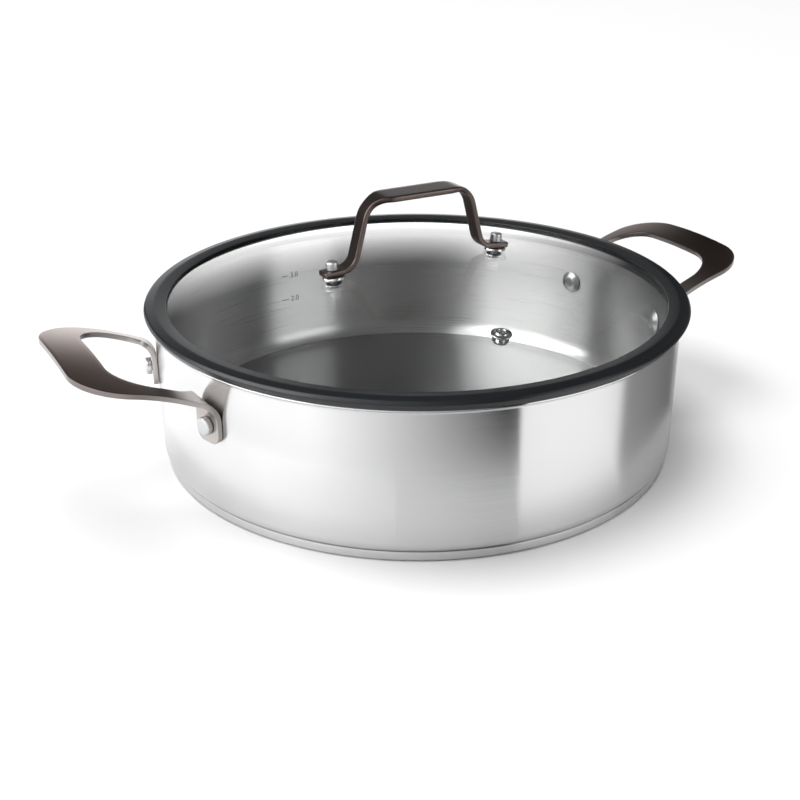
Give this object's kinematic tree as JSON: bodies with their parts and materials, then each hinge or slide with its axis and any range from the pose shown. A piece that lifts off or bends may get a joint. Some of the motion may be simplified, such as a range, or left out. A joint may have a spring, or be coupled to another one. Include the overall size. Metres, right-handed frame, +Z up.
{
  "type": "shallow casserole with lid",
  "caption": "Wide shallow steel pan with a sandwich base, riveted loop handles and a lift-off domed glass lid with a soft rim, strap handle and steam vent.",
  "frame": {"origin": "on the pan's axis, at the surface that the base stands on", "axes": "+Z up along the pan's axis, +X through the right side handle, -Y towards the lid's steam vent"},
  "size_m": [0.3952, 0.2916, 0.1406],
  "materials": {
    "steel": "brushed round the pan",
    "aluminium": "plain",
    "bronze": "bronze-brown metallic coat on steel, satin",
    "chrome": "polished",
    "silicone": "satin dark slate",
    "glass": "clear tempered glass"
  },
  "bodies": {
    "pan": {"pan_shell": "steel", "base_core": "aluminium", "base_cap": "steel", "right_handle": "bronze", "left_handle": "bronze", "right_rear_rivet": "chrome", "right_front_rivet": "chrome", "left_front_rivet": "chrome", "left_rear_rivet": "chrome"},
    "lid": {"lid_glass": "glass", "lid_rim": "silicone", "lid_handle": "bronze", "left_screw": "chrome", "left_flange": "chrome", "left_upper_gasket": "silicone", "left_lower_gasket": "silicone", "left_nut": "steel", "right_screw": "chrome", "right_flange": "chrome", "right_upper_gasket": "silicone", "right_lower_gasket": "silicone", "right_nut": "steel", "vent_eyelet": "chrome", "vent_gasket": "silicone", "vent_washer": "steel"}
  },
  "joints": [
    {"name": "lid_lift", "type": "slide", "parent": "pan", "child": "lid", "axis": [0, 0, 1], "range_m": [0, 0.15]}
  ]
}
